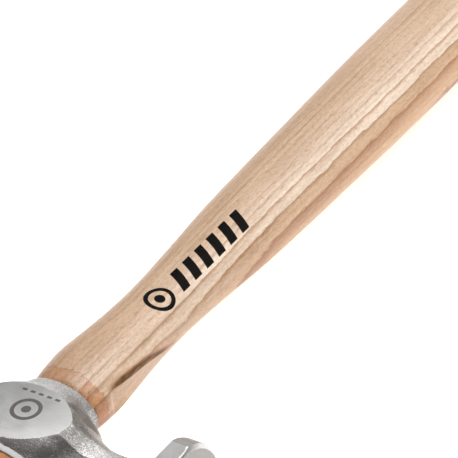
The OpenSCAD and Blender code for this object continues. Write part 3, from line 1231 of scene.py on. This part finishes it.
    def dress(self, piece: bpy.types.Object, points: Points, faces: np.ndarray) -> None:
        """Gives each surface its steel, with a sharp edge wherever two of them meet.

        Args:
            piece: The head.
            points: Its corner points, in mm about the eye's centre.
            faces: Three corner numbers for each triangle.
        """
        for skin in Skin:
            steel = GROUND_SKINS[skin].make(self.seat) if skin in GROUND_SKINS else BlastedSteel().make()
            piece.data.materials.append(steel)
        slots = self.sort_faces(points, faces)
        piece.data.polygons.foreach_set("material_index", slots.astype(np.int32))
        form = bmesh.new()
        form.from_mesh(piece.data)
        for edge in form.edges:
            if len({face.material_index for face in edge.link_faces}) > 1:
                edge.smooth = False
        form.to_mesh(piece.data)
        form.free()


# ---------------------------------------------------------------------------------------
# The handle
# ---------------------------------------------------------------------------------------


@dataclass
class Handle:
    """One length of ash: a tang in the eye, a rounded shoulder, a slim throat and the grip.

    Places run along the handle from the eye's centre, in mm.

    Args:
        seat: Where the eye's centre is.
        head: The head, whose eye the tang fills.
        sides: Points in each ring.
        proud: How far the tang stands out of the eye's top.
        half_width: Half-width along the head.
        thinness: Half-thickness as a share of the half-width.
        squareness: Squareness of the section; 2 is an ellipse.
        crease: Angle of the flat's edge round the handle, in degrees.
        peen_side: Narrowing of the side towards the peen, as a share.
        flat_round: Rounding between the flat and the oval.
        crease_shade_widths: Width of the painted shade on the oval's side of the crease and on the flat's.
        butt: End of the handle.
        butt_round: Rounding of the butt's edge.
    """

    seat: Seat
    head: ForgedHead
    sides: int = 224
    proud: float = 0.35
    half_width: Profile = field(default=Profile((
        (15.75, 11.0), (16.3, 11.25), (17.8, 11.55), (19.5, 11.7), (25.9, 11.86), (32.3, 11.42),
        (38.8, 10.82), (45.4, 10.28), (51.9, 9.97), (58.5, 9.86), (65.2, 10.03), (71.9, 10.38),
        (78.7, 10.8), (85.6, 11.28), (92.4, 11.78), (99.4, 12.17), (106.4, 12.42), (120.5, 12.83),
        (134.9, 13.2), (149.5, 13.6), (164.4, 13.94), (187, 14.2), (230, 14.13), (270, 13.56),
        (294, 14.45), (301.5, 14.5), (307, 14.2),
    )))
    thinness: Profile = field(default=Profile(((15.75, 0.75), (17, 0.77), (19.5, 0.78), (307, 0.78))))
    squareness: Profile = field(default=Profile(((15, 2.05), (30, 2.15), (90, 2.2), (307, 2.25))))
    crease: Profile = field(default=Profile((
        (20.5, 26.0), (26, 21.5), (32, 15.5), (39, 8.0), (44, -1.0), (49, -11.5), (56, -23.0), (60, -28.0),
    )))
    peen_side: tuple[Sequence[float], Sequence[float]] = ((15.4, 15.8, 22, 31), (0.0, 0.12, 0.07, 0.0))
    flat_round: float = 0.3
    crease_shade_widths: tuple[float, float] = (1.75, 0.45)
    butt: float = 307.0
    butt_round: float = 3.2

    def stations(self) -> np.ndarray:
        """Places of the rings along the handle, closer where the shape turns quickly."""
        tang = np.linspace(self.head.top - self.proud, self.head.rim - 0.25, 16)
        shoulder = np.linspace(self.head.rim + 0.05, 19.5, 14)
        flats = np.arange(19.8, 62, 0.4)
        throat = np.arange(62.5, 120, 1.2)
        grip = np.arange(121, self.butt - self.butt_round - 0.8, 2.5)
        turn = np.linspace(0, math.pi / 2, 12)[:-1]
        end = self.butt - self.butt_round + self.butt_round * np.sin(turn)
        return np.concatenate([tang, shoulder, flats, throat, grip, end])

    def build(self) -> bpy.types.Object:
        """Lofts the handle from its tang to its butt and closes both ends."""
        along = self.stations()
        turn = np.linspace(0, 2 * math.pi, self.sides, endpoint=False)
        half, thin = self._sizes(along)
        power = self.squareness(along)[:, None]
        angle = np.arctan2(thin[:, None] * np.sin(turn), half[:, None] * np.cos(turn))
        reach = 1 / (
            (np.abs(np.cos(angle)) / half[:, None]) ** power
            + (np.abs(np.sin(angle)) / thin[:, None]) ** power
        ) ** (1 / power)
        x = reach * np.cos(angle)
        z = reach * np.sin(angle)
        y = np.repeat(along[:, None], self.sides, axis=1)
        narrow = np.interp(along, *self.peen_side)[:, None]
        x = np.where(x < 0, x * (1 - narrow), x)
        x, z = self._cut_flats(along, x, z)
        points = np.stack([x, y, z], axis=-1).reshape(-1, 3)
        first = list(range(self.sides))
        last = [len(points) - 1 - corner for corner in first]
        piece = new_piece("ash_handle", self.seat.lay(points), self._walls(len(along)) + [first, last])
        # painted shade along the creases, stored for the wood's material.
        add_values(piece, "crease_shade", self._crease_shade(along, turn).reshape(-1))
        self._dress(piece)
        return piece

    def ring(self, place: float, count: int) -> Points:
        """Points on the handle's surface round one place in the shoulder.

        Args:
            place: Where along the handle.
            count: How many points.

        Returns:
            The points, in mm about the eye's centre.
        """
        half, thin = self._sizes(np.array([place]))
        turn = np.linspace(0, 2 * math.pi, count, endpoint=False)
        x = half[0] * np.cos(turn)
        x = np.where(x < 0, x * (1 - max(self.peen_side[1])), x)
        return np.stack([x, np.full(count, place), thin[0] * np.sin(turn)], axis=1)

    def _sizes(self, along: np.ndarray) -> tuple[np.ndarray, np.ndarray]:
        """Half-width and half-thickness of each ring."""
        inside = along < self.head.rim
        half = np.where(inside, self.head.eye_long(along), self.half_width(along))
        thin = np.where(inside, self.head.eye_wide(along), half * self.thinness(along))
        past = np.maximum(along - (self.butt - self.butt_round), 0) / self.butt_round
        tuck = self.butt_round * (1 - np.sqrt(np.maximum(1 - past**2, 0)))
        return half - tuck, thin - tuck

    def _cut_flats(self, along: np.ndarray, x: np.ndarray, z: np.ndarray) -> tuple[np.ndarray, np.ndarray]:
        """Cuts the flat on each narrow side of the shoulder, which twists as it fades.

        Args:
            along: Places of the rings.
            x: Coordinates along the head, ring by ring.
            z: Coordinates through the cheeks.

        Returns:
            The new x and z.
        """
        half, thin = self._sizes(along)
        crease = np.radians(self.crease(along))
        twist = np.radians(np.interp(along, [22, 58], [0, 27]))
        power = self.squareness(along)
        unit = 1 / (np.abs(np.cos(crease)) ** power + np.abs(np.sin(crease)) ** power) ** (1 / power)
        depth = unit * (half * np.cos(crease) * np.cos(twist) - thin * np.sin(crease) * np.sin(twist))
        fade = np.interp(along, [18.5, 23.5, 52, 60], [3.0, 0.0, 0.0, 0.35])
        depth = (depth + fade)[:, None]
        cos, sin = np.cos(twist)[:, None], np.sin(twist)[:, None]
        for way in (1.0, -1.0):
            out = way * (x * cos - z * sin)
            slack = smooth_max(out - depth, np.zeros_like(out), self.flat_round)
            x = x - way * slack * cos
            z = z + way * slack * sin
        return x, z

    def _crease_shade(self, along: np.ndarray, turn: np.ndarray) -> np.ndarray:
        """How much painted shade each point gets, from its distance to the creases.

        Args:
            along: Places of the rings.
            turn: Angle of each point round its ring.

        Returns:
            Numbers from 0 to 1, ring by ring.
        """
        half, thin = self._sizes(along)
        crease = np.radians(self.crease(along))[:, None]
        window = np.interp(along, [20.5, 24, 29, 42, 49, 57], [0, 0.45, 1, 1, 0.6, 0])[:, None]
        crease_share = np.zeros((len(along), len(turn)))
        for way in (0.0, math.pi):
            off = np.angle(np.exp(1j * (turn[None, :] - way - crease)))
            off = off * 0.5 * (half + thin)[:, None]
            width = np.where(off > 0, *self.crease_shade_widths)
            crease_share = np.maximum(crease_share, np.exp(-((off / width) ** 2)) * window)
        return crease_share

    def _walls(self, rings: int) -> list[Sequence[int]]:
        """Quads between neighbouring rings, turned outwards."""
        walls = []
        for ring in range(rings - 1):
            here, there = ring * self.sides, (ring + 1) * self.sides
            for i in range(self.sides):
                j = (i + 1) % self.sides
                walls.append((here + j, here + i, there + i, there + j))
        return walls

    def _dress(self, piece: bpy.types.Object) -> None:
        """Lacquered side grain, with bare end grain on the two cut ends."""
        piece.data.materials.append(AshWood("lacquered_ash").make(self.seat))
        piece.data.materials.append(AshWood("ash_end_grain", end_grain=True, gloss=0.6).make(self.seat))
        for face in piece.data.polygons:
            if len(face.vertices) > 4:
                face.material_index = 1
                face.use_smooth = False


@dataclass
class FibreFringe:
    """Torn and crushed wood fibres that stand round the collar's rim, made by Geometry Nodes.

    Args:
        seat: Where the eye's centre is.
        handle: The handle, whose shoulder they come from.
        place: Where they stand along the handle, in mm.
        count: How many there are.
        length: Length of the longest, in mm.
        thickness: Radius of a fibre's foot, in mm.
        point: Radius of its tip, in mm.
        lean: How far they lean either way, in radians.
        seed: Start of the random draws.
    """

    seat: Seat
    handle: Handle
    place: float = 16.1
    count: int = 150
    length: float = 1.15
    thickness: float = 0.17
    point: float = 0.03
    lean: float = 0.45
    seed: int = 7

    def build(self) -> bpy.types.Object:
        """Scatters fibres along a line round the shoulder and turns them into a mesh."""
        ring = self.handle.ring(self.place, 96)
        edges = [(i, (i + 1) % len(ring)) for i in range(len(ring))]
        mesh = bpy.data.meshes.new("shoulder_line")
        mesh.from_pydata([tuple(p) for p in self.seat.lay(ring)], edges, [])
        line = link_object("shoulder_line", mesh)
        modifier = line.modifiers.new("fringe", "NODES")
        modifier.node_group = self._tree(AshWood("torn_ash", gloss=0.7, end_grain=True).make(self.seat))
        sizes = {
            "Count": self.count,
            "Length": self.length * MM,
            "Thickness": self.thickness * MM,
            "Point": self.point * MM,
            "Lean": self.lean,
            "Seed": self.seed,
        }
        for item in modifier.node_group.interface.items_tree:
            if item.name in sizes:
                modifier[item.identifier] = sizes[item.name]
        graph = bpy.context.evaluated_depsgraph_get()
        fringe = bpy.data.meshes.new_from_object(line.evaluated_get(graph))
        fringe.name = "fibre_fringe"
        bpy.data.objects.remove(line)
        return link_object("fibre_fringe", fringe)

    @staticmethod
    def _tree(finish: bpy.types.Material) -> bpy.types.NodeTree:
        """The node tree: a line becomes evenly spaced points, each with a leaning fibre.

        Args:
            finish: Material of the fibres.

        Returns:
            The tree, with its sizes as named inputs.
        """
        tree = bpy.data.node_groups.new("fringe_of_fibres", "GeometryNodeTree")
        face = tree.interface
        face.new_socket("Geometry", in_out="INPUT", socket_type="NodeSocketGeometry")
        face.new_socket("Geometry", in_out="OUTPUT", socket_type="NodeSocketGeometry")
        for name in ("Count", "Seed"):
            face.new_socket(name, in_out="INPUT", socket_type="NodeSocketInt")
        for name in ("Length", "Thickness", "Point", "Lean"):
            face.new_socket(name, in_out="INPUT", socket_type="NodeSocketFloat")
        add, join = tree.nodes.new, tree.links.new
        given, result = add("NodeGroupInput"), add("NodeGroupOutput")

        def random(low: Value, high: Value, seed: Socket) -> Socket:
            """A random number for each point, between two limits."""
            pick = add("FunctionNodeRandomValue")
            for socket, value in ((pick.inputs[2], low), (pick.inputs[3], high)):
                if isinstance(value, bpy.types.NodeSocket):
                    join(value, socket)
                else:
                    socket.default_value = value
            join(seed, pick.inputs["Seed"])
            return pick.outputs[1]

        def sum_of(operation: str, a: Socket, b: float) -> Socket:
            """One sum on a number and a constant."""
            node = add("ShaderNodeMath")
            node.operation = operation
            join(a, node.inputs[0])
            node.inputs[1].default_value = b
            return node.outputs[0]

        curve, spaced = add("GeometryNodeMeshToCurve"), add("GeometryNodeResampleCurve")
        join(given.outputs["Geometry"], curve.inputs[0])
        join(curve.outputs[0], spaced.inputs["Curve"])
        join(given.outputs["Count"], spaced.inputs["Count"])
        fibre = add("GeometryNodeMeshCone")
        fibre.inputs["Vertices"].default_value = 5
        join(given.outputs["Point"], fibre.inputs["Radius Top"])
        join(given.outputs["Thickness"], fibre.inputs["Radius Bottom"])
        join(given.outputs["Length"], fibre.inputs["Depth"])
        lean, seed = given.outputs["Lean"], given.outputs["Seed"]
        other_way = sum_of("MULTIPLY", lean, -1.0)
        pitch, roll = (random(other_way, lean, sum_of("ADD", seed, float(more))) for more in range(2))
        turn = add("ShaderNodeCombineXYZ")
        join(sum_of("ADD", pitch, -math.pi / 2), turn.inputs["X"])
        join(roll, turn.inputs["Z"])
        strewn, real = add("GeometryNodeInstanceOnPoints"), add("GeometryNodeRealizeInstances")
        join(spaced.outputs[0], strewn.inputs["Points"])
        join(fibre.outputs["Mesh"], strewn.inputs["Instance"])
        join(turn.outputs[0], strewn.inputs["Rotation"])
        join(random(0.35, 1.0, seed), strewn.inputs["Scale"])
        join(strewn.outputs[0], real.inputs[0])
        painted = add("GeometryNodeSetMaterial")
        painted.inputs["Material"].default_value = finish
        join(real.outputs[0], painted.inputs["Geometry"])
        join(painted.outputs[0], result.inputs[0])
        return tree


# ---------------------------------------------------------------------------------------
# The wedges
# ---------------------------------------------------------------------------------------


@dataclass
class Wedge:
    """A tapered wedge with slightly crushed edges at its struck end.

    Args:
        name: Name of the piece.
        node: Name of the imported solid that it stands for.
        packed: That solid.
        material: Its material.
        proud: How far it stands out, in mm.
        crushed: Width of its bevelled edges, in mm.
    """

    name: str
    node: str
    packed: bpy.types.Object
    material: bpy.types.Material
    proud: float = 0.12
    crushed: float = 0.15

    def build(self) -> bpy.types.Object:
        """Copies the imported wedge, softens its edges and stands it a little proud."""
        low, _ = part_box(self.node)
        mesh = self.packed.data.copy()
        mesh.name = self.name
        form = bmesh.new()
        form.from_mesh(mesh)
        bmesh.ops.remove_doubles(form, verts=form.verts, dist=1e-6)
        bmesh.ops.dissolve_limit(form, angle_limit=0.02, verts=form.verts, edges=form.edges)
        struck_end = low.y + 0.2 * MM
        for vertex in form.verts:
            if vertex.co.y < struck_end:
                vertex.co.y -= self.proud * MM
        edges, width = list(form.edges), self.crushed * MM
        bmesh.ops.bevel(form, geom=edges, offset=width, segments=2, affect="EDGES", clamp_overlap=True)
        form.to_mesh(mesh)
        form.free()
        mesh.materials.clear()
        mesh.materials.append(self.material)
        return link_object(self.name, mesh)


# ---------------------------------------------------------------------------------------
# The studio
# ---------------------------------------------------------------------------------------


@dataclass(frozen=True)
class Softbox:
    """A square area light that points at the hammer.

    Args:
        name: Name of the light.
        place: Where it hangs, in metres.
        size: Length of its side, in metres.
        power: Its power in watts.
    """

    name: str
    place: tuple[float, float, float]
    size: float
    power: float

    def hang(self) -> None:
        """Adds the light to the scene."""
        light = bpy.data.lights.new(self.name, "AREA")
        light.shape = "SQUARE"
        light.size = self.size
        light.energy = self.power
        lamp = link_object(self.name, light)
        lamp.location = self.place
        lamp.rotation_euler = (-Vector(self.place)).to_track_quat("-Z", "Y").to_euler()


@dataclass
class Studio:
    """Pale floor, soft lights and the camera.

    Args:
        seat: Where the eye's centre is.
        table_reach: Half the table top's size, in metres, wide enough to hide its edge.
        table_glow: How much the table top shines of its own accord.
        bright_side: Direction in which the surround is brightest.
        surround: Range of the direction and the strengths at its two ends.
        aim: What the camera looks at from the eye's centre, in mm.
        distance: How far off the camera is, in mm.
        azimuth: Its direction round the hammer, in degrees.
        elevation: Its height above the table top, in degrees.
        roll: Its turn about its own axis, in degrees.
        lens: Focal length in mm, on a sensor as wide as the next value.
        sensor: Width of the sensor in mm.
    """

    seat: Seat
    table_reach: float = 30.0
    table_glow: float = 0.6
    bright_side: tuple[float, float, float] = (0.0, 0.62, 0.78)
    surround: tuple[float, float, float, float] = (-0.45, 0.9, 0.2, 1.0)
    aim: tuple[float, float, float] = (28.68, 58.88, 37.41)
    distance: float = 1051.3
    azimuth: float = 39.04
    elevation: float = 36.47
    roll: float = -8.28
    lens: float = 322.3
    sensor: float = 36.0
    lights: tuple[Softbox, ...] = (
        Softbox("overhead_softbox", (0.3, 0.6, 1.3), 1.9, 38.0),
        Softbox("left_softbox", (-1.5, 0.0, 0.9), 0.9, 4.5),
        Softbox("back_softbox", (-0.85, 1.35, 0.3), 0.9, 4.0),
        Softbox("front_softbox", (0.1, -1.4, 0.75), 0.9, 3.0),
    )

    def build(self) -> None:
        """Sets up everything that isn't the hammer."""
        self._floor()
        for light in self.lights:
            light.hang()
        self._surround()
        self._camera()
        view = bpy.context.scene.view_settings
        view.view_transform = "Standard"
        view.look = "None"

    def _floor(self) -> None:
        """A wide pale table top."""
        corners = self.table_reach * np.array([(-1, -1, 0), (1, -1, 0), (1, 1, 0), (-1, 1, 0)])
        floor = new_piece("table_top", corners, [(0, 1, 2, 3)])
        sheet = NodeSheet("pale_table")
        cloud = sheet.noise(sheet.millimetres, 0.004)
        sheet.set(Base_Color=sheet.mix(cloud, (0.93, 0.93, 0.93), (0.95, 0.95, 0.95)), Roughness=0.6)
        sheet.set(Emission_Color=(1.0, 1.0, 1.0), Emission_Strength=self.table_glow)
        floor.data.materials.append(sheet.material)

    def _surround(self) -> None:
        """A dim surround that brightens towards one side."""
        world = bpy.data.worlds.new("studio_surround")
        bpy.context.scene.world = world
        world.use_nodes = True
        tree = world.node_tree
        coordinates = tree.nodes.new("ShaderNodeTexCoord")
        towards = tree.nodes.new("ShaderNodeVectorMath")
        towards.operation = "DOT_PRODUCT"
        towards.inputs[1].default_value = self.bright_side
        tree.links.new(coordinates.outputs["Generated"], towards.inputs[0])
        span = tree.nodes.new("ShaderNodeMapRange")
        for socket, number in zip(list(span.inputs)[1:5], self.surround):
            socket.default_value = number
        tree.links.new(towards.outputs["Value"], span.inputs[0])
        tree.links.new(span.outputs[0], tree.nodes["Background"].inputs["Strength"])

    def _camera(self) -> None:
        """A long lens that looks down on the head and along the handle."""
        turn, lift, roll = (math.radians(a) for a in (self.azimuth, self.elevation, self.roll))
        back = Vector((math.sin(turn) * math.cos(lift), -math.cos(turn) * math.cos(lift), math.sin(lift)))
        level = Vector((math.cos(turn), math.sin(turn), 0.0))
        rise = back.cross(level)
        right = level * math.cos(roll) + rise * math.sin(roll)
        up = back.cross(right)
        data = bpy.data.cameras.new("camera")
        data.lens = self.lens
        data.sensor_width = self.sensor
        data.clip_start = 0.05
        camera = link_object("camera", data)
        place = self.seat.place + Vector(self.aim) * MM + back * self.distance * MM
        camera.matrix_world = Matrix.Translation(place) @ Matrix((right, up, back)).transposed().to_4x4()
        bpy.context.scene.camera = camera


# ---------------------------------------------------------------------------------------
# Putting it together
# ---------------------------------------------------------------------------------------


def find_seat() -> Seat:
    """Works out the eye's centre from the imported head."""
    low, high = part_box("head")
    middle_z = 0.5 * (low.z + high.z)
    return Seat(Vector((high.x - ForgedHead.face * MM, high.y - ForgedHead.rim * MM, middle_z)))


def place_piece(piece: bpy.types.Object, slot: str, *nodes: str) -> None:
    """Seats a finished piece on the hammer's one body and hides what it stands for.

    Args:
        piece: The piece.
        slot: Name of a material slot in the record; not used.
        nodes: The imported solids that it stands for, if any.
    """
    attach(piece, "root")
    if nodes:
        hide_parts(*nodes)
    count = len(piece.data.polygons)
    LOG.info("%s: %d faces, stands for %s", piece.name, count, ", ".join(nodes) or "itself")


def main() -> None:
    """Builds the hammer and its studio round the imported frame."""
    logging.basicConfig(level=logging.INFO, format="%(name)s: %(message)s")
    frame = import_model()
    solids = frame["nodes"]
    seat = find_seat()
    LOG.info("eye centre at %s", tuple(round(part, 5) for part in seat.place))
    Studio(seat).build()
    head = ForgedHead(seat)
    place_piece(head.build(), "forged_steel", "head")
    handle = Handle(seat, head)
    place_piece(handle.build(), "ash_wood", "handle")
    place_piece(FibreFringe(seat, handle).build(), "ash_wood")
    tan = AshWood("wedge_wood_grain", pith=(40.0, 5.0), ring=1.4, end_grain=True, gloss=0.6).make(seat)
    grey = GroundSteel("wedge_steel", Brushing.SPIRAL_FACE, (0.35, 0.34, 0.33), 0.45).make(seat)
    wooden = Wedge("wooden_wedge", "wood_wedge", solids["wood_wedge"], tan)
    place_piece(wooden.build(), "wedge_wood", "wood_wedge")
    for node in ("steel_wedge_front", "steel_wedge_rear"):
        steel = Wedge(f"{node}_piece", node, solids[node], grey, proud=0.2)
        place_piece(steel.build(), "wedge_steel", node)


if __name__ == "__main__":
    main()
